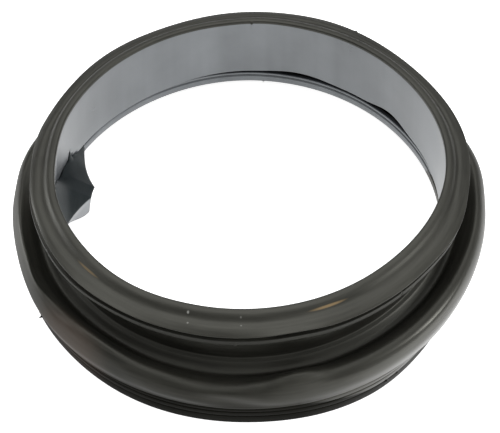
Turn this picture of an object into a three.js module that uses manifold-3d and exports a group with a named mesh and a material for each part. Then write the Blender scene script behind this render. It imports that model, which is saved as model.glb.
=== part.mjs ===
import * as THREE from 'three';
import * as BufferGeometryUtils from 'three/addons/utils/BufferGeometryUtils.js';
import Module from 'manifold-3d';

// Door seal (bellows) of a front-loading washing machine: one moulding of black rubber.
// It stands on its tub-side foot, z = 0, with the door-side lip up. Millimetres and degrees.
// Azimuths run from +X, the right of the door, towards +Y.

// Door side: the lip that meets the glass, the shallow channel round it, the collar with its
// thin edge, and the rim under the collar.
const sealHeight = 97.6;
const lipRadius = 157;
const lipThickness = 5.5;
const lipRound = 3;
const channelRadius = 167.2;
const channelDepth = 4.2;
const collarCrownRadius = 173;
const collarCrownRise = 0.4;
const collarRadius = 180;
const collarDrop = 5.8;
const collarEdge = 0.9;
const slitDepth = 6;
const slitTopDrop = 10;
const rimTopDrop = 11.8;
const rimRadius = 179;
const rimThickness = 5;
const rimUndercut = 1;

// Neck and fold: a sheet of even thickness.
const wall = 3.8;
const neckFlare = 7.5;
const bendHeight = 31;
const bendWidth = 9.5;
const bendRound = 4;
const beadRadius = 170;
const beadHeight = 44.3;
const beadSlope = 5;
const valleyRadius = 177.5;
const valleyHeight = 39.8;
const crownRadius = 190;
const crownHeight = 50.5;
const shoulderRadius = 201.3;
const shoulderHeight = 38.5;
const foldFullness = { inside: 1.2, outside: 1.3, drop: 2.6, foot: 0.6 };

// Tub side: the ribbed band, the foot and the inner ring, with the tub's edge between the two.
const bandTop = 27.5;
const bandRadius = 198.8;
const footRadius = 196;
const footWidth = 6.5;
const footRound = 1.6;
const bandStep = 1;
const bandGrooves = [
  { height: 25, width: 2, depth: 1 },
  { height: 19, width: 2.4, depth: 1.8 },
  { height: 11.2, width: 2.4, depth: 1.6 },
];
const ringRadius = 167;
const ringThickness = 4;
const ringBottom = 15.5;
const ringTop = 26.5;
const ringChamfer = 1.2;
const ringGroove = { height: 23, width: 1.8, depth: 1.2 };
const webBottom = 20.5;
const webTop = 24.3;
const webRound = 2;

// Flap on the inside of the neck: a thick pointed deflector that hangs from the wall.
const flapStart = 152.5;
const flapTip = 172;
const flapTipWidth = 7;
const flapEnd = 203;
const flapRoot = 3.4;
const flapReach = 33.4;
const flapNoseHeight = 29;
const flapNoseRise = 0.75;
const flapNoseLowest = 18.5;
const flapUndercut = 3.5;
const flapLeast = 2;
const flapFootHeight = 36;
const flapTops = [
  { azimuth: 160, height: 37 },
  { azimuth: 165.5, height: 53 },
  { azimuth: 176, height: 54 },
  { azimuth: 190, height: 84 },
];
const flapUndersides = [
  { azimuth: 171, height: 24 },
  { azimuth: 179, height: 15 },
  { azimuth: 194, height: 38 },
];

// How the soft ring stands. The door side leans. Each set is a soft bump along the ring: its
// azimuth, its half width and how far it moves the rubber.
const lean = 1.5;
const lipShifts = [
  { azimuth: 352, halfWidth: 45, size: 3.2 },
  { azimuth: 84, halfWidth: 16, size: 1.2 },
  { azimuth: 236, halfWidth: 22, size: 1 },
];
const collarShifts = [
  { azimuth: 34, halfWidth: 36, size: -4.6 },
  { azimuth: 90, halfWidth: 90, size: -1 },
  { azimuth: 118, halfWidth: 30, size: -2.6 },
  { azimuth: 156, halfWidth: 32, size: -4.2 },
  { azimuth: 262, halfWidth: 40, size: -1.6 },
  { azimuth: 332, halfWidth: 16, size: 2.2 },
];
const shoulderShifts = [
  { azimuth: 197, halfWidth: 24, size: -2.8 },
  { azimuth: 163, halfWidth: 18, size: 1.8 },
  { azimuth: 0, halfWidth: 15, size: 1.2 },
  { azimuth: 15, halfWidth: 12, size: -1.2 },
  { azimuth: 335, halfWidth: 26, size: -0.8 },
];
const footShifts = [
  { azimuth: 292, halfWidth: 22, size: 1.3 },
  { azimuth: 245, halfWidth: 25, size: 0.8 },
  { azimuth: 330, halfWidth: 32, size: -5.5 },
];
const crownLifts = [
  { azimuth: 232, halfWidth: 16, size: 5.5 },
  { azimuth: 262, halfWidth: 15, size: -3.5 },
  { azimuth: 281, halfWidth: 9, size: 6 },
];
const bendLifts = [
  { azimuth: 33, halfWidth: 15, size: 8 },
  { azimuth: 72, halfWidth: 16, size: 3 },
];
const hemDrops = [{ azimuth: 132, halfWidth: 46, size: -7 }];
const wallDents = [{ azimuth: 266, halfWidth: 10, size: -2.2 }];
const crownSpread = 16;
const bendSpread = 14;
const bendReach = 26;
const hemSpread = 7;
const dentSpread = 11;

const turnSegments = 72;
const foldSteps = 13;
const flapSteps = 14;

const wasm = await Module();
wasm.setup();

function smooth(t) {
  return THREE.MathUtils.smoothstep(t, 0, 1);
}

// A hump of height 1 at the centre that fades to nothing at centre +- half width.
function hump(value, centre, halfWidth) {
  const t = Math.min(1, Math.abs(value - centre) / halfWidth);
  return 0.5 + 0.5 * Math.cos(Math.PI * t);
}

// How far a list of sets moves the rubber at an azimuth.
function movedBy(sets, azimuth) {
  let sum = 0;
  for (const set of sets) {
    const turned = THREE.MathUtils.euclideanModulo(azimuth - set.azimuth + 180, 360) - 180;
    sum += set.size * hump(turned, 0, set.halfWidth);
  }
  return sum;
}

// An outline from corners [radius, height, fillet, steps], each fillet rounded by short chords.
function roundedOutline(corners) {
  const outline = [];
  corners.forEach(([x, y, fillet = 0, steps = 0], index) => {
    const corner = new THREE.Vector2(x, y);
    const before = corners[index - 1];
    const after = corners[index + 1];
    if (!fillet || !before || !after) {
      outline.push(corner);
      return;
    }
    const toBefore = new THREE.Vector2(before[0], before[1]).sub(corner);
    const toAfter = new THREE.Vector2(after[0], after[1]).sub(corner);
    const halfAngle = Math.abs(toBefore.angleTo(toAfter)) / 2;
    const room = Math.min(toBefore.length(), toAfter.length()) * 0.49;
    const setback = Math.min(fillet / Math.tan(halfAngle), room);
    const start = toBefore.setLength(setback).add(corner);
    const end = toAfter.setLength(setback).add(corner);
    const curve = new THREE.QuadraticBezierCurve(start, corner, end);
    outline.push(...curve.getPoints(steps));
  });
  return outline;
}

// The neck's inner face widens evenly from the lip down to the bend.
function neckRadius(height) {
  const span = sealHeight - lipRound - bendHeight;
  return lipRadius + neckFlare * THREE.MathUtils.clamp((sealHeight - lipRound - height) / span, 0, 1);
}

function doorSide() {
  const channelHeight = sealHeight - channelDepth;
  const collarTop = sealHeight - collarDrop;
  const slitTop = sealHeight - slitTopDrop;
  const rimTop = sealHeight - rimTopDrop;
  const rimBottom = rimTop - rimThickness;
  const recessTop = rimBottom - rimUndercut;
  const slitFloor = collarRadius - slitDepth;
  return roundedOutline([
    [neckRadius(bendHeight), bendHeight],
    [lipRadius, sealHeight - lipRound],
    [lipRadius, sealHeight, lipRound, 3],
    [lipRadius + lipThickness, sealHeight, lipRound, 2],
    [channelRadius, channelHeight, lipRound, 2],
    [collarCrownRadius, channelHeight + collarCrownRise, lipRound, 1],
    [collarRadius, collarTop],
    [collarRadius - collarEdge / 2, collarTop - collarEdge],
    [slitFloor, slitTop],
    [slitFloor, rimTop],
    [rimRadius, rimTop],
    [rimRadius, rimBottom, rimUndercut, 1],
    [neckRadius(recessTop) + wall, recessTop, lipRound, 2],
    [neckRadius(beadHeight) + wall, beadHeight + beadSlope, lipRound, 1],
  ]).slice(1);
}

// The outer face of the fold, from the bead at the neck's foot over the crown to the band.
const foldFace = new THREE.SplineCurve([
  new THREE.Vector2(beadRadius, beadHeight),
  new THREE.Vector2(valleyRadius, valleyHeight),
  new THREE.Vector2(
    (valleyRadius + crownRadius) / 2,
    (valleyHeight + crownHeight) / 2 + foldFullness.inside,
  ),
  new THREE.Vector2(crownRadius, crownHeight),
  new THREE.Vector2(
    (crownRadius + shoulderRadius) / 2 + foldFullness.outside,
    crownHeight - foldFullness.drop,
  ),
  new THREE.Vector2(shoulderRadius, shoulderHeight),
  new THREE.Vector2(bandRadius + foldFullness.foot, bandTop),
]);

// The inner face lies one wall thickness inside the outer one.
function foldLining() {
  const lining = [];
  for (let step = 3; step < foldSteps; step += 1) {
    const t = step / foldSteps;
    const tangent = foldFace.getTangent(t);
    const inward = new THREE.Vector2(tangent.y, -tangent.x).multiplyScalar(wall);
    lining.push(foldFace.getPoint(t).add(inward));
  }
  return lining.reverse();
}

function tubSide() {
  const band = bandGrooves.flatMap(({ height, width, depth }, index) => {
    const radius = bandRadius - index * bandStep;
    return [
      [radius, height + width / 2],
      [radius - depth, height],
      [radius - bandStep / 2, height - width / 2],
    ];
  });
  const footInner = footRadius - footWidth;
  const ringOuter = ringRadius + ringThickness;
  const groove = ringGroove;
  return roundedOutline([
    ...band,
    [footRadius, 0, footRound, 1],
    [footInner, 0],
    [footInner, webBottom, webRound, 1],
    [ringOuter, webBottom],
    [ringOuter, ringBottom + ringChamfer],
    [ringOuter - ringChamfer, ringBottom],
    [ringRadius, ringBottom],
    [ringRadius, groove.height - groove.width / 2],
    [ringRadius + groove.depth, groove.height],
    [ringRadius, groove.height + groove.width / 2],
    [ringRadius, ringTop],
    [ringOuter, ringTop],
    [ringOuter + ringChamfer, webTop],
    [bandRadius - wall * 2, webTop],
  ]);
}

function bend() {
  return roundedOutline([
    [valleyRadius, valleyHeight - wall],
    [beadRadius + bendWidth / 2, bendHeight, bendRound, 2],
    [neckRadius(bendHeight), bendHeight, bendRound, 2],
    [neckRadius(bendHeight * 2), bendHeight * 2],
  ]).slice(1, -1);
}

// Leans the door side and moves lip, collar, crown, shoulder, bend and foot by their sets.
function settle(geometry) {
  const position = geometry.getAttribute('position');
  const lipOuter = lipRadius + lipThickness;
  const slitFloor = collarRadius - slitDepth;
  const ringOuter = ringRadius + ringThickness;
  const footInner = footRadius - footWidth;
  const slope = Math.tan(THREE.MathUtils.degToRad(lean));
  for (let i = 0; i < position.count; i += 1) {
    const x = position.getX(i);
    const y = position.getY(i);
    const z = position.getZ(i);
    const radius = Math.hypot(x, y);
    const azimuth = THREE.MathUtils.radToDeg(Math.atan2(y, x));
    const onDoorSide = smooth((z - beadHeight) / (sealHeight - lipRound - beadHeight));
    const onCollar = smooth((radius - lipOuter) / (slitFloor - lipOuter));
    const onCrown = hump(radius, crownRadius, crownSpread) * smooth((z - bandTop) / crownSpread);
    const onShoulder = smooth((radius - valleyRadius) / (crownRadius - valleyRadius))
      * smooth((z - webTop) / (bandTop - webTop)) * (1 - onDoorSide);
    const onFoot = smooth((bandTop - z) / (bandTop - ringBottom))
      * smooth((radius - ringOuter) / (footInner - ringOuter));
    const onBend = (1 - smooth((radius - beadRadius) / bendSpread))
      * smooth((z - ringTop) / (bendHeight - ringTop))
      * (1 - smooth((z - beadHeight) / bendReach));
    const onHem = (1 - smooth((radius - lipOuter) / hemSpread))
      * (1 - smooth((z - bendHeight) / bendReach));
    const onWall = smooth((radius - crownRadius) / (shoulderRadius - crownRadius))
      * hump(z, shoulderHeight, dentSpread);
    const shift = onDoorSide * (1 - onCollar) * movedBy(lipShifts, azimuth)
      + onDoorSide * onCollar * movedBy(collarShifts, azimuth)
      + onShoulder * movedBy(shoulderShifts, azimuth)
      + onFoot * movedBy(footShifts, azimuth)
      + onWall * movedBy(wallDents, azimuth);
    const lift = slope * x * smooth((z - webTop) / (beadHeight - webTop))
      + onCrown * movedBy(crownLifts, azimuth)
      + onBend * movedBy(bendLifts, azimuth)
      + onHem * movedBy(hemDrops, azimuth);
    const scale = (radius + shift) / radius;
    position.setXYZ(i, x * scale, y * scale, z + lift);
  }
}

function bellows() {
  const profile = [
    ...doorSide(),
    ...foldFace.getPoints(foldSteps),
    ...tubSide(),
    ...foldLining(),
    ...bend(),
  ];
  profile.push(profile[0].clone());
  const geometry = new THREE.LatheGeometry(profile.reverse(), turnSegments);
  geometry.rotateX(Math.PI / 2);
  settle(geometry);
  return geometry;
}

// The height of one of the flap's edges: smooth steps from one named place to the next.
function edgeHeight(places, azimuth) {
  let height = places[0].height;
  for (let i = 1; i < places.length; i += 1) {
    const before = places[i - 1];
    const after = places[i];
    const t = (azimuth - before.azimuth) / (after.azimuth - before.azimuth);
    height += (after.height - before.height) * smooth(t);
  }
  return height;
}

// The flap's section is a square, extruded through an angle and bent round the neck's inner
// face: u runs from the wall to the nose, v from the lower face to the upper one.
function flap() {
  const section = new THREE.Shape([
    new THREE.Vector2(0, 0),
    new THREE.Vector2(1, 0),
    new THREE.Vector2(1, 1),
    new THREE.Vector2(0.5, 1),
    new THREE.Vector2(0, 1),
  ]);
  const geometry = new THREE.ExtrudeGeometry(section, {
    depth: flapEnd - flapStart,
    steps: flapSteps,
    bevelEnabled: false,
  });
  const position = geometry.getAttribute('position');
  for (let i = 0; i < position.count; i += 1) {
    const u = position.getX(i);
    const v = position.getY(i);
    const azimuth = flapStart + position.getZ(i);
    const rising = (azimuth - flapStart) / (flapTip - flapStart);
    const falling = (flapEnd - azimuth) / (flapEnd - flapTip - flapTipWidth);
    const reach = flapReach * Math.min(1, rising, falling);
    const rise = flapNoseRise * (azimuth - flapTip);
    const nose = Math.max(flapNoseHeight + rise, flapNoseLowest);
    const upper = THREE.MathUtils.lerp(edgeHeight(flapTops, azimuth), nose, u);
    const under = THREE.MathUtils.lerp(flapFootHeight, edgeHeight(flapUndersides, azimuth), u);
    const lower = Math.min(under, upper - flapLeast);
    const height = THREE.MathUtils.lerp(lower, upper, v);
    const undercut = flapUndercut * u * (1 - v);
    const radius = neckRadius(height) + flapRoot - reach * u + undercut;
    const turn = THREE.MathUtils.degToRad(azimuth);
    position.setXYZ(i, radius * Math.cos(turn), radius * Math.sin(turn), height);
  }
  return geometry;
}

function toSolid(geometry) {
  const bare = geometry.clone();
  bare.deleteAttribute('normal');
  bare.deleteAttribute('uv');
  const merged = BufferGeometryUtils.mergeVertices(bare, 1e-4);
  return new wasm.Manifold(new wasm.Mesh({
    numProp: 3,
    vertProperties: new Float32Array(merged.getAttribute('position').array),
    triVerts: new Uint32Array(merged.index.array),
  }));
}

function toGeometry(solid) {
  const mesh = solid.getMesh();
  const geometry = new THREE.BufferGeometry();
  geometry.setAttribute('position', new THREE.BufferAttribute(mesh.vertProperties, 3));
  geometry.setIndex(new THREE.BufferAttribute(mesh.triVerts, 1));
  geometry.computeVertexNormals();
  return geometry;
}

const rubber = new THREE.MeshStandardMaterial({ color: 0x3c3d39, roughness: 0.55, metalness: 0 });
const seal = new THREE.Mesh(toGeometry(toSolid(bellows()).add(toSolid(flap()))), rubber);
seal.name = 'door_seal';

const doorSeal = new THREE.Group();
doorSeal.add(seal);

export default doorSeal;
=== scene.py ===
"""Door seal of a front-loading washing machine: one ring of black rubber, door side up."""
import math

import bpy
import numpy as np
from mathutils import Matrix


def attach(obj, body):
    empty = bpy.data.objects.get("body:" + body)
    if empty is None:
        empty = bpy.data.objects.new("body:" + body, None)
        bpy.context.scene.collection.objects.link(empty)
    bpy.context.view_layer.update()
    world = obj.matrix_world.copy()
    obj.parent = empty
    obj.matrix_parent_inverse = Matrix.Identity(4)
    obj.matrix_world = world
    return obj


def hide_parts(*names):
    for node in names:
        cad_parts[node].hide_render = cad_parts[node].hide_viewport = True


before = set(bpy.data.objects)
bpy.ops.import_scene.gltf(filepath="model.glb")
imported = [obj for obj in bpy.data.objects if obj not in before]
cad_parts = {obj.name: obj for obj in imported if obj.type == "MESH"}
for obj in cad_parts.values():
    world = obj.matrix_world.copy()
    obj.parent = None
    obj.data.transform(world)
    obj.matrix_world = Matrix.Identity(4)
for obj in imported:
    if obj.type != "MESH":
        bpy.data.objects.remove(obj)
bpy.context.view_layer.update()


# Lip, channel, collar and rim: the door side of the ring.
# Black rubber, moulded in one with the rest. The door's glass presses on the lip, and the
# cabinet's edge sits in the recess under collar and rim. Lengths are in millimetres.
seal_height = 97.6
lip_radius = 157
lip_thickness = 5.5
lip_round = 3
channel_radius = 167.2
channel_depth = 4.2
collar_crown_radius = 173
collar_crown_rise = 0.4
collar_radius = 180
collar_drop = 5.8
collar_edge = 0.9
slit_depth = 6
slit_top_drop = 10.4
rim_top_drop = 11.8
rim_radius = 179
rim_thickness = 5
rim_undercut = 1
wall = 3.8
neck_flare = 7.5
bend_height = 31
bead_radius = 170
bead_height = 44.3
bead_root_rise = 2.2
bead_edge_rise = 1.3
bead_edge_width = 1.4
neck_start_rise = 2
neck_end_drop = 0.4


def neck_radius(height):
    """Radius of the neck's inner face, which widens evenly from the lip down to the bend."""
    top = seal_height - lip_round
    return lip_radius + neck_flare * np.clip((top - height) / (top - bend_height), 0, 1)


def rounded(corners, chord, turn=20, side_share=0.49):
    """Outline through corners (radius, height, fillet), each fillet a true arc in short chords.

    No fillet takes more than its share of a side. A chord turns by at most about the given angle.
    """
    outline = []
    points = [np.array(corner[:2], float) for corner in corners]
    for i, corner in enumerate(corners):
        here = points[i]
        fillet = corner[2] if len(corner) > 2 else 0
        if not fillet or i in (0, len(corners) - 1):
            outline.append([here])
            continue
        back = points[i - 1] - here
        ahead = points[i + 1] - here
        reach = side_share * min(np.linalg.norm(back), np.linalg.norm(ahead))
        back /= np.linalg.norm(back)
        ahead /= np.linalg.norm(ahead)
        half = 0.5 * math.acos(np.clip(back @ ahead, -1, 1))
        fillet = min(fillet, reach * math.tan(half))
        inward = (back + ahead) / np.linalg.norm(back + ahead)
        centre = here + inward * fillet / math.sin(half)
        start = here + back * fillet / math.tan(half) - centre
        end = here + ahead * fillet / math.tan(half) - centre
        swing = math.atan2(start[0] * end[1] - start[1] * end[0], start @ end)
        steps = max(2, round(abs(math.degrees(swing)) / turn))
        arc = []
        for step in range(steps + 1):
            c, s = math.cos(swing * step / steps), math.sin(swing * step / steps)
            arc.append(centre + np.array([c * start[0] - s * start[1], s * start[0] + c * start[1]]))
        outline.append(arc)
    filled = []
    for group, following in zip(outline, outline[1:] + [None]):
        filled.extend(group)
        if following is None:
            break
        gap = following[0] - group[-1]
        parts = max(1, math.ceil(np.linalg.norm(gap) / chord))
        filled.extend(group[-1] + gap * part / parts for part in range(1, parts))
    return filled


def door_side():
    """The inner wall, then the lip, channel, collar, slit and rim, down the neck to the bead."""
    lip_outer = lip_radius + lip_thickness
    channel_height = seal_height - channel_depth
    collar_top = seal_height - collar_drop
    slit_top = seal_height - slit_top_drop
    rim_top = seal_height - rim_top_drop
    rim_bottom = rim_top - rim_thickness
    recess_top = rim_bottom - rim_undercut
    slit_floor = collar_radius - slit_depth
    inner = rounded([
        (neck_radius(bend_height + neck_start_rise), bend_height + neck_start_rise),
        (lip_radius, seal_height - lip_round - neck_end_drop),
    ], chord=7)
    outer = rounded([
        (lip_radius, seal_height - lip_round),
        (lip_radius, seal_height, lip_round),
        (lip_outer, seal_height, 5),
        (channel_radius, channel_height, 6.5),
        (collar_crown_radius, channel_height + collar_crown_rise, 9),
        (collar_radius, collar_top, 0.6),
        (collar_radius - collar_edge / 2, collar_top - collar_edge, 0.4),
        (slit_floor, slit_top, 0.5),
        (slit_floor, rim_top, 0.5),
        (rim_radius, rim_top, 0.8),
        (rim_radius, rim_bottom, rim_undercut),
        (neck_radius(recess_top) + wall, recess_top, 3),
        (neck_radius(bead_height) + wall, bead_height + bead_root_rise, 1.4),
        (bead_radius + 0.1, bead_height + bead_edge_rise, 0.5),
        (bead_radius + bead_edge_width, bead_height - 0.1),
    ], chord=4.2)
    return inner, outer


# Fold: the soft roll between the neck and the ribbed band, which lets the drum move.
# It is a sheet of even thickness, and it has taken a set in places from packing and use.
valley_radius = 177.5
valley_height = 39.8
crown_radius = 190
crown_height = 50.5
shoulder_radius = 201.3
shoulder_height = 38.5
band_top = 27.5
band_radius = 198.8
fullness_inside = 1.2
fullness_outside = 1.3
crown_fall = 2.6
fold_end_width = 0.6
fold_face = [
    (bead_radius, bead_height),
    (valley_radius, valley_height),
    ((valley_radius + crown_radius) / 2, (valley_height + crown_height) / 2 + fullness_inside),
    (crown_radius, crown_height),
    ((crown_radius + shoulder_radius) / 2 + fullness_outside, crown_height - crown_fall),
    (shoulder_radius, shoulder_height),
    (band_radius + fold_end_width, band_top),
]


def through(knots, t):
    """Point at t, from 0 to 1, on a Catmull-Rom curve through the knots, and its direction."""
    knots = np.array(knots, float)
    spans = len(knots) - 1
    k = min(int(t * spans), spans - 1)
    u = t * spans - k
    p1, p2 = knots[k], knots[k + 1]
    p0 = knots[k - 1] if k else 2 * p1 - p2
    p3 = knots[k + 2] if k + 2 <= spans else 2 * p2 - p1
    v0, v1 = (p2 - p0) / 2, (p3 - p1) / 2
    a, b = 2 * p1 - 2 * p2 + v0 + v1, -3 * p1 + 3 * p2 - 2 * v0 - v1
    return ((a * u + b) * u + v0) * u + p1, (3 * a * u + 2 * b) * u + v0


fold_steps = 32
steps_under_bead = 2
steps_in_bend = 6


def fold_outer():
    """Outer face of the fold, from just past the bead to the band."""
    return [through(fold_face, step / fold_steps)[0]
            for step in range(steps_under_bead, fold_steps + 1)]


def fold_inner():
    """Inner face, one wall thickness inside the outer one, from the band back to the valley."""
    lining = []
    for step in range(fold_steps - 1, steps_in_bend, -1):
        place, along = through(fold_face, step / fold_steps)
        inward = np.array([along[1], -along[0]]) / np.linalg.norm(along)
        lining.append(place + inward * wall)
    return lining


# Ribbed band, foot and inner ring: the tub side.
# The tub's front edge goes up between the foot and the inner ring, and a steel clamping band
# closes over the ribs outside.
foot_radius = 196
foot_width = 6.5
band_start = (0.2, 0.6)
band_step = 1
band_grooves = [(25, 2, 1), (19, 2.4, 1.8), (11.2, 2.4, 1.6)]
ring_radius = 167
ring_thickness = 4
ring_bottom = 15.5
ring_top = 26.5
ring_groove = (23, 2.4, 1.9)
web_bottom = 20.5
web_top = 24.3
web_end_width = 4
lining_start = (0.3, 1)
ring_chamfer = 1.2
bend_width = 9.5
bend_tilt = 0.4
bend_end_rise = 1.6


def tub_side():
    """The band with its grooves, the foot, the slot for the tub's edge, the web and the ring."""
    corners = [(band_radius + band_start[0], band_top - band_start[1])]
    for index, (height, width, depth) in enumerate(band_grooves):
        radius = band_radius - band_step * index
        corners += [
            (radius, height + width / 2, 0.5),
            (radius - depth, height, 0.4),
            (radius - band_step / 2, height - width / 2, 0.5),
        ]
    ring_outer = ring_radius + ring_thickness
    height, width, depth = ring_groove
    corners += [
        (foot_radius, 0, 1.6),
        (foot_radius - foot_width, 0, 0.8),
        (foot_radius - foot_width, web_bottom, 2),
        (ring_outer, web_bottom, 0.6),
        (ring_outer, ring_bottom, 1.2),
        (ring_radius, ring_bottom, 0.7),
        (ring_radius, height - width / 2, 0.4),
        (ring_radius + depth, height, 0.4),
        (ring_radius, height + width / 2, 0.4),
        (ring_radius, ring_top, 0.9),
        (ring_outer, ring_top, 0.9),
        (ring_outer + ring_chamfer, web_top, 0.8),
        (band_radius - wall - web_end_width, web_top, 2),
        (band_radius - wall + lining_start[0], band_top + lining_start[1]),
    ]
    return rounded(corners, chord=5, turn=32)


def bend():
    """The tight turn from the fold's inner face up into the neck."""
    return rounded([
        (valley_radius + 1, valley_height - wall),
        (bead_radius + bend_width / 2, bend_height + bend_tilt, 4),
        (neck_radius(bend_height), bend_height - bend_tilt, 3),
        (neck_radius(bend_height + bend_end_rise), bend_height + bend_end_rise),
    ], chord=2)[1:]


# The soft ring as it stands: its door side leans, and the rubber has moved a little in places.
# Each set is a soft bump along the ring: its azimuth, its half width and how far it moves the
# rubber, outwards for the shifts and dents, upwards for the lifts and drops.
lean = 1.5
lip_shifts = [(352, 45, 3.2), (84, 16, 1.2), (236, 22, 1), (180, 18, -1.2)]
collar_shifts = [
    (34, 36, -4.6), (90, 90, -1), (118, 30, -2.6), (156, 32, -4.2), (262, 40, -1.6), (332, 16, 2.2),
    (182, 15, -1.8),
]
shoulder_shifts = [(197, 24, -2.8), (165, 14, 3), (7, 13, 2), (22, 9, -5), (335, 26, -0.8)]
foot_shifts = [(292, 22, 1.3), (245, 25, 0.8), (330, 32, -5.5)]
wall_dents = [(266, 10, -2.2), (244, 6, -0.4)]
dent_slant = 0.45
wall_drops = [(226, 36, -2.6)]
crown_lifts = [(232, 16, 5.5), (262, 15, -3.5), (281, 9, 6), (170, 18, -4)]
crown_shifts = [(172, 24, 4.5), (197, 20, 4.5), (210, 11, 4), (356, 38, 2)]
bend_lifts = [(37, 12, 5.4), (72, 16, 3)]
hem_drops = [(132, 46, -7)]
crown_spread = 16
crown_shift_spread = 11
crown_shift_inset = 3
bend_spread = 14
bend_reach = 26
hem_spread = 7
dent_spread = 11
wall_end_spread = 9
wall_end_width = 4
# Flash, nicks and worn edges: azimuth, half width, then the place in the section as radius and
# height, how far round it the mark reaches, and how far it stands out.
mould_marks = [
    (214.6, 0.45, 199, 26, 1.4, 4.2), (302.8, 0.5, 196, 10, 3, 1.4), (306.2, 0.5, 196, 10, 3, 1.2),
    (55.8, 0.6, 180, 91.8, 2, 1.3), (88.1, 0.5, 157, 95, 3, -1.5), (84.3, 0.5, 167, 15.5, 2, -1.3),
    (309.4, 0.5, 179, 83.4, 3.2, -2.6), (266.9, 0.5, 179, 80.8, 1.6, 1.2),
    (199, 34, 180, 91.5, 5, -3), (222, 20, 179, 83.4, 4, 1.5), (210.4, 0.6, 179, 83.4, 3.2, -1.5),
]


def smooth(t):
    """0 below 0, 1 above 1, and an even S between."""
    t = np.clip(t, 0, 1)
    return t * t * (3 - 2 * t)


def hump(value, centre, half_width):
    """A soft bump of height 1 at the centre, which fades to nothing at the half width."""
    return 0.5 + 0.5 * np.cos(np.pi * np.clip(np.abs(value - centre) / half_width, 0, 1))


def signed(azimuth):
    """The same azimuth, between -180 and 180 degrees."""
    return (azimuth + 180) % 360 - 180


def moved_by(sets, azimuth):
    """How far a list of sets moves the rubber at an azimuth in degrees."""
    return sum(size * hump(signed(azimuth - centre), 0, half_width)
               for centre, half_width, size in sets)


def settle(radius, azimuth, height):
    """Where a point of the plain turned ring ends up on the seal as it stands."""
    lip_outer = lip_radius + lip_thickness
    slit_floor = collar_radius - slit_depth
    ring_outer = ring_radius + ring_thickness
    foot_inner = foot_radius - foot_width
    on_door_side = smooth((height - bead_height) / (seal_height - lip_round - bead_height))
    on_collar = smooth((radius - lip_outer) / (slit_floor - lip_outer))
    on_crown = (hump(radius, crown_radius, crown_spread)
                * smooth((height - band_top) / crown_spread))
    on_shoulder = (smooth((radius - valley_radius) / (crown_radius - valley_radius))
                   * smooth((height - web_top) / (band_top - web_top)) * (1 - on_door_side))
    on_foot = (smooth((band_top - height) / (band_top - ring_bottom))
               * smooth((radius - ring_outer) / (foot_inner - ring_outer)))
    on_bend = ((1 - smooth((radius - bead_radius) / bend_spread))
               * smooth((height - ring_top) / (bend_height - ring_top))
               * (1 - smooth((height - bead_height) / bend_reach)))
    on_hem = ((1 - smooth((radius - lip_outer) / hem_spread))
              * (1 - smooth((height - bend_height) / bend_reach)))
    on_wall = (smooth((radius - crown_radius) / (shoulder_radius - crown_radius))
               * hump(height, shoulder_height, dent_spread))
    on_wall_end = (smooth((radius - foot_radius + wall_end_width) / wall_end_width)
                   * hump(height, band_top, wall_end_spread))
    crown_inside = hump(radius, crown_radius - crown_shift_inset, crown_shift_spread)
    shift = (on_door_side * (1 - on_collar) * moved_by(lip_shifts, azimuth)
             + on_door_side * on_collar * moved_by(collar_shifts, azimuth)
             + on_shoulder * moved_by(shoulder_shifts, azimuth)
             + on_foot * moved_by(foot_shifts, azimuth)
             + on_wall * moved_by(wall_dents, azimuth + dent_slant * (height - shoulder_height))
             + crown_inside * on_crown * moved_by(crown_shifts, azimuth))
    for centre, half_width, mark_radius, mark_height, reach, size in mould_marks:
        near = hump(np.hypot(radius - mark_radius, height - mark_height), 0, reach)
        shift = shift + near * moved_by([(centre, half_width, size)], azimuth)
    across = radius * np.cos(np.radians(azimuth))
    slope = math.tan(math.radians(lean))
    lift = (slope * across * smooth((height - web_top) / (bead_height - web_top))
            + on_crown * moved_by(crown_lifts, azimuth)
            + on_bend * moved_by(bend_lifts, azimuth)
            + on_hem * moved_by(hem_drops, azimuth)
            + on_wall_end * moved_by(wall_drops, azimuth))
    return radius + shift, height + lift


columns = 340
columns_in_mark = 5
narrowest_plain_mark = 1
millimetre = 0.001
satin, polished, grained, dull = range(4)
polish_rise = 4
ring_end_margin = 2
satin_ring_from = -80
satin_ring_to = 16
satin_ring_slant = 0.6
slit_margin = 0.5


def ring_of_sections():
    """Turns the section into a closed ring and gives each face its finish."""
    inner, outer = door_side()
    section = np.array(inner + outer + fold_outer() + tub_side() + fold_inner() + bend())
    section_radius, section_height = section[:, 0], section[:, 1]
    ring_outer = ring_radius + ring_thickness
    finish = np.full(len(section), satin)
    finish[(section_radius < ring_outer) & (section_height < bend_height + polish_rise)] = polished
    finish[:len(inner)] = polished
    rim_middle = seal_height - rim_top_drop - rim_thickness / 2
    finish[(section_radius > collar_radius - slit_depth + slit_margin)
           & (np.abs(section_height - rim_middle) < rim_thickness / 2 + rim_undercut)] = dull
    fine = [np.linspace(mark[0] - mark[1], mark[0] + mark[1], columns_in_mark)
            for mark in mould_marks if mark[1] < narrowest_plain_mark]
    azimuth = np.unique(np.concatenate([np.arange(columns) * 360 / columns] + fine))
    radius, z = settle(section_radius[None, :], azimuth[:, None], section_height[None, :])
    angle = np.radians(azimuth)[:, None]
    points = np.stack([radius * np.cos(angle), radius * np.sin(angle), z], axis=-1)
    count = len(section)
    faces = []
    for i in range(len(azimuth)):
        here, there = i * count, (i + 1) % len(azimuth) * count
        faces += [(here + j, here + (j + 1) % count, there + (j + 1) % count, there + j)
                  for j in range(count)]
    slots = np.tile(finish, (len(azimuth), 1))
    on_ring = (section_radius < ring_outer + ring_end_margin) & (section_height < bend_height)
    slant = satin_ring_slant * (section_height - ring_bottom)
    before_end = signed(azimuth[:, None] + slant) < satin_ring_to
    past_start = signed(azimuth[:, None]) > satin_ring_from
    slots[on_ring & before_end & past_start] = satin
    return points.reshape(-1, 3) * millimetre, faces, slots.ravel().tolist()


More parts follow.
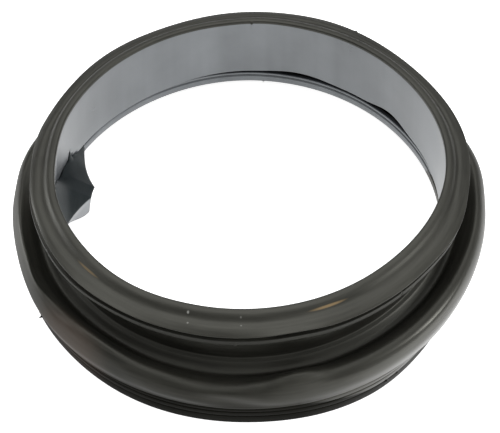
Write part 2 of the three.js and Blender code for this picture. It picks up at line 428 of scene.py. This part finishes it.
def new_object(name, points, faces, materials, slots):
    """A smooth-shaded mesh object from points in metres."""
    mesh = bpy.data.meshes.new(name)
    mesh.from_pydata(points.tolist(), [], faces)
    for material in materials:
        mesh.materials.append(material)
    mesh.polygons.foreach_set("material_index", slots)
    mesh.polygons.foreach_set("use_smooth", [True] * len(faces))
    mesh.update()
    made = bpy.data.objects.new(name, mesh)
    bpy.context.collection.objects.link(made)
    return made


# Flap on the inside of the neck: a thick pointed deflector that hangs from the wall.
# Moulded with the ring. Its face is matt and finely grained, unlike the polished neck.
flap_start = 152.5
flap_tip = 172
flap_tip_width = 7
flap_end = 203
flap_root = 3.4
flap_reach = 33.4
flap_nose_height = 29
flap_nose_rise = 0.75
flap_nose_lowest = 18.5
flap_undercut = 3.5
flap_foot_height = 36
flap_tops = [(150, 28), (195, 66)]
flap_wall_tops = [(153, 26), (163, 42), (172, 45.5), (190, 90)]
flap_spikes = [(163.9, 1.5, 12), (162, 1.6, -1.5)]
flap_undersides = [(171, 24), (179, 15), (194, 38)]
flap_wall_fade = 14
flap_spike_fade = 3.5
flap_least = 2
flap_columns = 96
flap_rows = 18
flap_nose_rows = 8


def edge_height(places, azimuth):
    """The height of one of the flap's edges: smooth steps from one named place to the next."""
    height = places[0][1]
    for (before, low), (after, high) in zip(places, places[1:]):
        height += (high - low) * smooth((azimuth - before) / (after - before))
    return height


def flap_point(azimuth, u, v):
    """u runs from the wall to the nose, v from the lower face to the upper one."""
    rising = (azimuth - flap_start) / (flap_tip - flap_start)
    falling = (flap_end - azimuth) / (flap_end - flap_tip - flap_tip_width)
    reach = flap_reach * min(1, rising, falling)
    nose = max(flap_nose_height + flap_nose_rise * (azimuth - flap_tip), flap_nose_lowest)
    off_wall = max(0, reach * u - flap_root)
    top = edge_height(flap_tops, azimuth)
    top += (edge_height(flap_wall_tops, azimuth) - top) * smooth(1 - off_wall / flap_wall_fade)
    top += moved_by(flap_spikes, azimuth) * smooth(1 - off_wall / flap_spike_fade)
    upper = top + (nose - top) * u
    under = flap_foot_height + (edge_height(flap_undersides, azimuth) - flap_foot_height) * u
    lower = min(under, upper - flap_least)
    height = lower + (upper - lower) * v
    radius = neck_radius(height) + flap_root - reach * u + flap_undercut * u * (1 - v)
    return radius, height


def flap_points():
    """The flap as a closed band: round the section at each azimuth, with flat ends."""
    loop = [(row / flap_rows, 1) for row in range(flap_rows)]
    loop += [(1, 1 - row / flap_nose_rows) for row in range(flap_nose_rows)]
    loop += [(1 - row / flap_rows, 0) for row in range(flap_rows)]
    loop += [(0, row / flap_nose_rows) for row in range(flap_nose_rows)]
    points = []
    for step in range(flap_columns + 1):
        azimuth = flap_start + (flap_end - flap_start) * step / flap_columns
        for u, v in loop:
            radius, height = flap_point(azimuth, u, v)
            turn = math.radians(azimuth)
            points.append((radius * math.cos(turn), radius * math.sin(turn), height))
    count = len(loop)
    faces = [tuple(range(count - 1, -1, -1)), tuple(flap_columns * count + j for j in range(count))]
    slots = [grained, grained]
    for step in range(flap_columns):
        here, there = step * count, (step + 1) * count
        faces += [(here + j, here + (j + 1) % count, there + (j + 1) % count, there + j)
                  for j in range(count)]
        # The upper face is grained; the nose, underside and root take the polished rubber, with its
        # painted reflection.
        slots += [grained] * flap_rows + [polished] * (count - flap_rows)
    return np.array(points) * millimetre, faces, slots


# Rubber: black, satin outside, polished on the neck's inner face by the mould's core, dull on the
# rim and finely grained on the flap. The polished face's lighter, bluer colour and its pale upright
# streaks are painted reflection. Amber streaks along the channel are painted highlights. The outer
# wall was rubbed smooth at the right front, and the foot is matt up to the first groove, though less
# far up on that side; there its colour is also darkened towards black, a painted shade where the
# seal meets the floor. Lengths are in metres.
cloud_scale = 14
cloud_detail = 5
streak_detail = 3
grain_detail = 2
bloom_from = 0.35
bloom_full = 0.68
spot_tallness = 3
spot_core = 0.35
rubbed_turn = 0.66
rubbed_side_from = 0.75
wall_start = 0.191
wall_face = 0.199
wall_foot = 0.03
plain_wall_top = 0.041
plain_wall_shine = (0.06, 0.5)
plain_side_roughness = 0.05
rubbed_wall_top = 0.044
rubbed_wall_shine = (1.2, 0.82)
patchy_shine = (0.82, 1.18)
foot_start = 0.186
foot_face = 0.189
matt_side_from = 0.7
matt_top = 0.0275
matt_top_rubbed = 0.01
matt_fade = 0.0015
matt_strength = 0.93
# How far the foot's colour is mixed towards near-black: painted shade where the seal meets the floor.
foot_shade_dimming = 0.6
foot_shade_black = (0.002, 0.002, 0.0015)


def material_nodes(name):
    """A new material, with its node tree and its shader."""
    material = bpy.data.materials.new(name)
    material.use_nodes = True
    tree = material.node_tree
    return material, tree, tree.nodes["Principled BSDF"]


def add(tree, kind, **settings):
    """Adds a node. A setting names a property, or an input as in_0, in_1 and so on."""
    node = tree.nodes.new(kind)
    for key, value in settings.items():
        if key.startswith("in_"):
            socket = node.inputs[int(key[3:])]
            if isinstance(value, bpy.types.NodeSocket):
                tree.links.new(value, socket)
            else:
                socket.default_value = value
        else:
            setattr(node, key, value)
    return node


def ring_coordinates(tree):
    """Radius, angle and height of the shaded point, in metres and radians."""
    place = add(tree, "ShaderNodeTexCoord").outputs["Object"]
    split = add(tree, "ShaderNodeSeparateXYZ", in_0=place)
    x, y, z = split.outputs
    flat = add(tree, "ShaderNodeCombineXYZ", in_0=x, in_1=y)
    radius = add(tree, "ShaderNodeVectorMath", operation="LENGTH", in_0=flat.outputs[0])
    angle = add(tree, "ShaderNodeMath", operation="ARCTAN2", in_0=y, in_1=x)
    return place, radius.outputs["Value"], angle.outputs[0], z


def near_place(tree, radius, angle, z, spot):
    """1 at a spot on the ring and 0 past its edge. Spot: azimuth, radius, height, length, width."""
    azimuth, at_radius, at_height, length, width = spot
    centre = math.radians(signed(azimuth))
    along = add(tree, "ShaderNodeMath", operation="SUBTRACT", in_0=angle, in_1=centre)
    out = add(tree, "ShaderNodeMath", operation="SUBTRACT", in_0=radius, in_1=at_radius * millimetre)
    up = add(tree, "ShaderNodeMath", operation="SUBTRACT", in_0=z, in_1=at_height * millimetre)
    gap = add(tree, "ShaderNodeCombineXYZ", in_0=along.outputs[0], in_1=out.outputs[0],
              in_2=up.outputs[0])
    per_width = 1 / (width * millimetre)
    scaled = add(tree, "ShaderNodeVectorMath", operation="MULTIPLY", in_0=gap.outputs[0],
                 in_1=(at_radius / length, per_width, per_width / spot_tallness))
    distance = add(tree, "ShaderNodeVectorMath", operation="LENGTH", in_0=scaled.outputs[0])
    edge = add(tree, "ShaderNodeMapRange", interpolation_type="SMOOTHSTEP",
               in_0=distance.outputs["Value"], in_1=spot_core, in_2=1, in_3=1, in_4=0)
    return edge.outputs[0]


def pale_tone(tree, ring_place, streak_scales):
    """How pale the rubber is, from 0 to 1: cloudy bloom and streaks, fine ones round the ring as left
    by the mould, and broad upright ones on the polished neck, where the pale tone is a painted
    reflection.
    """
    place, radius, angle, z = ring_place
    round_ring, across_ring, fineness = streak_scales
    cloud = add(tree, "ShaderNodeTexNoise", in_0=place, in_2=cloud_scale,
                in_3=cloud_detail)
    along = add(tree, "ShaderNodeMath", operation="MULTIPLY", in_0=angle, in_1=round_ring)
    section_place = add(tree, "ShaderNodeCombineXYZ", in_0=radius, in_2=z)
    narrowed = add(tree, "ShaderNodeVectorMath", operation="SCALE", in_0=section_place.outputs[0],
                   in_3=across_ring)
    upright = add(tree, "ShaderNodeCombineXYZ", in_1=along.outputs[0])
    streak_place = add(tree, "ShaderNodeVectorMath", in_0=narrowed.outputs[0], in_1=upright.outputs[0])
    streak = add(tree, "ShaderNodeTexNoise", in_0=streak_place.outputs[0], in_2=fineness,
                 in_3=streak_detail)
    both = add(tree, "ShaderNodeMix", data_type="FLOAT", in_0=0.5, in_2=cloud.outputs[0],
               in_3=streak.outputs[0])
    pale_share = add(tree, "ShaderNodeMapRange", in_0=both.outputs[0], in_1=bloom_from,
                     in_2=bloom_full)
    return pale_share.outputs[0]


def matt_and_shade_share(tree, ring_place, side):
    """How matt the rubber is, which also sets how far its colour goes towards black as painted shade:
    nearly fully on the foot, and not at all above it.
    """
    place, radius, angle, z = ring_place
    top = add(tree, "ShaderNodeMapRange", interpolation_type="SMOOTHSTEP", in_0=side,
              in_1=matt_side_from, in_2=1, in_3=matt_top, in_4=matt_top_rubbed)
    over_foot = add(tree, "ShaderNodeMath", operation="SUBTRACT", in_0=z, in_1=top.outputs[0])
    on_foot = add(tree, "ShaderNodeMapRange", in_0=radius, in_1=foot_start, in_2=foot_face)
    matt = add(tree, "ShaderNodeMapRange", in_0=over_foot.outputs[0], in_1=-matt_fade, in_2=matt_fade,
               in_3=matt_strength, in_4=0)
    share = add(tree, "ShaderNodeMath", operation="MULTIPLY", in_0=matt.outputs[0],
                in_1=on_foot.outputs[0])
    return share.outputs[0]


def wall_shine(tree, z, side, shine):
    """Shine of the outer wall: next to none low down, but at the rubbed side strongest there."""
    plain = add(tree, "ShaderNodeMapRange", in_0=z, in_1=wall_foot, in_2=plain_wall_top,
                in_3=plain_wall_shine[0] * shine, in_4=plain_wall_shine[1] * shine)
    rubbed = add(tree, "ShaderNodeMapRange", in_0=z, in_1=wall_foot, in_2=rubbed_wall_top,
                 in_3=rubbed_wall_shine[0] * shine, in_4=rubbed_wall_shine[1] * shine)
    both = add(tree, "ShaderNodeMapRange", in_0=side, in_1=rubbed_side_from, in_2=1,
               in_3=plain.outputs[0], in_4=rubbed.outputs[0])
    return both.outputs[0]


def rubber(name, colour, pale, rough, grain, sheen, shine, streak_scales=(0.012, 1, 420), stains_and_highlights=()):
    """Rubber with bloom, streaks, a stain, dust specks, painted amber highlights, painted shade on the
    foot and a fine grain, whose shine and wear follow the ring.
    """
    material, tree, shader = material_nodes(name)
    ring_place = ring_coordinates(tree)
    place, radius, angle, z = ring_place
    tone = pale_tone(tree, ring_place, streak_scales)
    turned = add(tree, "ShaderNodeMath", operation="ADD", in_0=angle, in_1=rubbed_turn)
    side = add(tree, "ShaderNodeMath", operation="COSINE", in_0=turned.outputs[0]).outputs[0]
    on_wall = add(tree, "ShaderNodeMapRange", in_0=radius, in_1=wall_start, in_2=wall_face).outputs[0]
    matt = matt_and_shade_share(tree, ring_place, side)
    shade = add(tree, "ShaderNodeMix", data_type="RGBA", in_0=tone, in_6=(*colour, 1), in_7=(*pale, 1))
    # A stain, dust specks and painted amber highlights, each mixed into the colour at its spot.
    for spot, tint, strength in stains_and_highlights:
        here = near_place(tree, radius, angle, z, spot)
        share = add(tree, "ShaderNodeMath", operation="MULTIPLY", in_0=here, in_1=strength)
        shade = add(tree, "ShaderNodeMix", data_type="RGBA", in_0=share.outputs[0],
                    in_6=shade.outputs["Result"], in_7=(*tint, 1))
    # Painted shade: the foot's colour darkens towards near-black where the seal meets the floor.
    dim = add(tree, "ShaderNodeMath", operation="MULTIPLY", in_0=matt, in_1=foot_shade_dimming)
    shade = add(tree, "ShaderNodeMix", data_type="RGBA", in_0=dim.outputs[0],
                in_6=shade.outputs["Result"], in_7=(*foot_shade_black, 1))
    tree.links.new(shade.outputs["Result"], shader.inputs["Base Color"])
    least, most, swing = rough
    cloudy = add(tree, "ShaderNodeMapRange", in_0=tone, in_3=least, in_4=most)
    worn = add(tree, "ShaderNodeMapRange", in_0=side, in_1=rubbed_side_from, in_2=1,
               in_3=plain_side_roughness, in_4=-swing)
    smoother = add(tree, "ShaderNodeMath", operation="MULTIPLY_ADD", in_0=worn.outputs[0],
                   in_1=on_wall, in_2=cloudy.outputs[0])
    tree.links.new(smoother.outputs[0], shader.inputs["Roughness"])
    level = add(tree, "ShaderNodeMix", data_type="FLOAT", in_0=on_wall, in_2=shine,
                in_3=wall_shine(tree, z, side, shine))
    not_matt = add(tree, "ShaderNodeMath", operation="MULTIPLY_ADD", in_0=matt, in_1=-1, in_2=1)
    lit = add(tree, "ShaderNodeMath", operation="MULTIPLY", in_0=level.outputs[0],
              in_1=not_matt.outputs[0])
    patchy = add(tree, "ShaderNodeMapRange", in_0=tone, in_3=patchy_shine[0], in_4=patchy_shine[1])
    uneven = add(tree, "ShaderNodeMath", operation="MULTIPLY", in_0=lit.outputs[0],
                 in_1=patchy.outputs[0])
    tree.links.new(uneven.outputs[0], shader.inputs["Specular IOR Level"])
    shader.inputs["Specular Tint"].default_value = (*sheen, 1)
    grain_scale, grain_depth = grain
    fine = add(tree, "ShaderNodeTexNoise", in_0=place, in_2=grain_scale, in_3=grain_detail)
    bump = add(tree, "ShaderNodeBump", in_0=0.5, in_1=grain_depth)
    tree.links.new(fine.outputs[0], bump.inputs["Height"])
    tree.links.new(bump.outputs[0], shader.inputs["Normal"])
    return material


# Amber streaks along the channel are painted highlights; the brown patch and the grey specks are a
# stain and dust.
amber_highlight = (0.22, 0.15, 0.07)
dust = (0.4, 0.4, 0.38)
brown = (0.042, 0.028, 0.02)
stains_and_highlights = [
    ((224.5, 167.2, 90.8, 15, 1.1), amber_highlight, 0.5), ((290.5, 165.4, 96, 18, 1.2), amber_highlight, 0.9),
    ((226, 199, 30, 50, 18), brown, 0.8),
    ((254.8, 164.2, 95, 1.2, 1.2), dust, 0.6), ((255.4, 171.5, 93, 1, 1), dust, 0.4),
    ((268.2, 164, 95.5, 0.9, 0.9), dust, 0.3), ((268.3, 169.5, 93.5, 0.9, 0.9), dust, 0.3),
    ((278.8, 179.6, 84, 0.9, 0.9), dust, 0.6), ((289.2, 199, 43, 0.8, 1), dust, 0.3),
]
satin_rubber = rubber(
    "rubber_satin", (0.0115, 0.0113, 0.0092), (0.0215, 0.021, 0.017), rough=(0.4, 0.5, 0.18),
    grain=(2600, 0.00006), sheen=(1, 1, 0.9), shine=0.5, stains_and_highlights=stains_and_highlights)
# The polished neck's lighter, bluer colour and its broad pale upright streaks are painted reflection
# on the gloss.
polished_rubber = rubber(
    "rubber_polished", (0.028, 0.032, 0.037), (0.078, 0.084, 0.092), rough=(0.26, 0.37, 0),
    grain=(60, 0.00001), sheen=(0.92, 0.965, 0.99), shine=0.52, streak_scales=(0.165, 0.06, 26))
polished_rubber.node_tree.nodes["Principled BSDF"].inputs["IOR"].default_value = 2
grained_rubber = rubber(
    "rubber_grained", (0.011, 0.014, 0.015), (0.016, 0.019, 0.021), rough=(0.5, 0.6, 0),
    grain=(1500, 0.0002), sheen=(0.85, 1, 1), shine=0.22)
dull_rubber = rubber(
    "rubber_dull", (0.009, 0.009, 0.0075), (0.016, 0.016, 0.013), rough=(0.45, 0.55, 0),
    grain=(2600, 0.00006), sheen=(1, 1, 0.9), shine=0.2)
finishes = [satin_rubber, polished_rubber, grained_rubber, dull_rubber]


# The seal: ring and flap become one closed surface, as they come out of the mould. It stands on its
# foot and takes the place of the plain solid in the CAD model.
ring_mesh = ring_of_sections()
seal = new_object("seal_moulding", ring_mesh[0], ring_mesh[1], finishes, ring_mesh[2])
flap_mesh = flap_points()
flap = new_object("seal_flap", flap_mesh[0], flap_mesh[1], finishes, flap_mesh[2])
union = seal.modifiers.new("flap", "BOOLEAN")
union.operation = "UNION"
union.object = flap
union.solver = "EXACT"
union.material_mode = "INDEX"
shaped = bpy.data.meshes.new_from_object(seal.evaluated_get(bpy.context.evaluated_depsgraph_get()))
seal.modifiers.clear()
seal.data = shaped
bpy.data.objects.remove(flap)
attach(seal, "root")
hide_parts("door_seal")


# Floor: a plain light table, white and lit from within, so that it keeps next to no shadow. It
# is strongest at the front right, which shows in the seal's wall.
floor_half_width = 4
glow_centre = (0.45, -0.42, 0)
glow_near = 0.15
glow_far = 0.42
brightest_glow = 3.7
even_glow = 0.92


def pale_floor():
    """A wide square of matt white board."""
    half = floor_half_width
    board, tree, shader = material_nodes("floor_white")
    shader.inputs["Base Color"].default_value = (0.86, 0.86, 0.86, 1)
    shader.inputs["Roughness"].default_value = 0.9
    shader.inputs["Specular IOR Level"].default_value = 0.2
    shader.inputs["Emission Color"].default_value = (1, 1, 1, 1)
    place = add(tree, "ShaderNodeTexCoord").outputs["Object"]
    away = add(tree, "ShaderNodeVectorMath", operation="DISTANCE", in_0=place, in_1=glow_centre)
    glow = add(tree, "ShaderNodeMapRange", in_0=away.outputs["Value"], in_1=glow_near, in_2=glow_far,
               in_3=brightest_glow, in_4=even_glow)
    tree.links.new(glow.outputs[0], shader.inputs["Emission Strength"])
    corners = np.array([(-half, -half, 0), (half, -half, 0), (half, half, 0), (-half, half, 0)])
    floor = new_object("floor", corners, [(0, 1, 2, 3)], [board], [0])


pale_floor()


# Light: a pale room, brightest overhead and a little brighter on the right, with one large soft
# panel above and a small one on each side.
room_left = 0.12
room_right = 0.3
room_overhead = 0.6
side_limit = 0.8
high_from = 0.2
high_to = 0.9


def soft_panel(name, place, target, size, power):
    """A square area light that faces the target."""
    light = bpy.data.lights.new(name, "AREA")
    light.size = size
    light.energy = power
    panel = bpy.data.objects.new(name, light)
    aim = np.array(place) - np.array(target)
    distance = float(np.linalg.norm(aim))
    panel.location = place
    panel.rotation_euler = (math.acos(aim[2] / distance), 0, math.atan2(aim[1], aim[0]) + math.pi / 2)
    bpy.context.collection.objects.link(panel)


soft_panel("panel_left", (-1.45, 0.42, 0.3), (0, 0, 0), 0.3, 5)
soft_panel("panel_right", (1.42, -0.4, 0.66), (0, 0, 0), 0.3, 8.5)
soft_panel("panel_top", (-0.1, 0.6, 1.8), (0, 0, 0), 1.8, 18)
world = bpy.data.worlds.new("pale_room")
bpy.context.scene.world = world
world.use_nodes = True
room = world.node_tree
background = room.nodes["Background"]
direction = add(room, "ShaderNodeTexCoord").outputs["Generated"]
axes = add(room, "ShaderNodeSeparateXYZ", in_0=direction)
side_light = add(room, "ShaderNodeMapRange", in_0=axes.outputs[0], in_1=-side_limit, in_2=side_limit,
                 in_3=room_left, in_4=room_right)
high_light = add(room, "ShaderNodeMapRange", in_0=axes.outputs[2], in_1=high_from, in_2=high_to,
                 in_3=0, in_4=room_overhead)
both_lights = add(room, "ShaderNodeMath", operation="ADD", in_0=side_light.outputs[0],
                  in_1=high_light.outputs[0])
room.links.new(both_lights.outputs[0], background.inputs["Strength"])
background.inputs["Color"].default_value = (1, 1, 1, 1)
bpy.context.scene.view_settings.view_transform = "Standard"


# Camera: it stands 0.9 m from the seal and looks down on it from the front, at 49 degrees. Its
# focal length and the middle of its view are in pixels of the photograph.
picture_width = 500
picture_height = 433
focal_pixels = 1049
sensor = 36
camera_place = (0, -0.585, 0.7199)
camera_target = (0, 0, 0.036)
camera_roll = -0.43
centre_pixel = (247.2, 197.1)


def camera_at_photo_angle():
    """The camera, with the small shift and roll of the photograph's framing."""
    data = bpy.data.cameras.new("camera")
    data.sensor_width = sensor
    data.lens = focal_pixels / picture_width * sensor
    data.shift_x = (picture_width / 2 - centre_pixel[0]) / picture_width
    data.shift_y = (centre_pixel[1] - picture_height / 2) / picture_width
    camera = bpy.data.objects.new("camera", data)
    tilt = math.atan2(-camera_place[1], camera_place[2] - camera_target[2])
    roll = math.radians(camera_roll)
    camera.matrix_world = (Matrix.Translation(camera_place) @ Matrix.Rotation(tilt, 4, "X")
                           @ Matrix.Rotation(roll, 4, "Z"))
    bpy.context.collection.objects.link(camera)
    bpy.context.scene.camera = camera


camera_at_photo_angle()
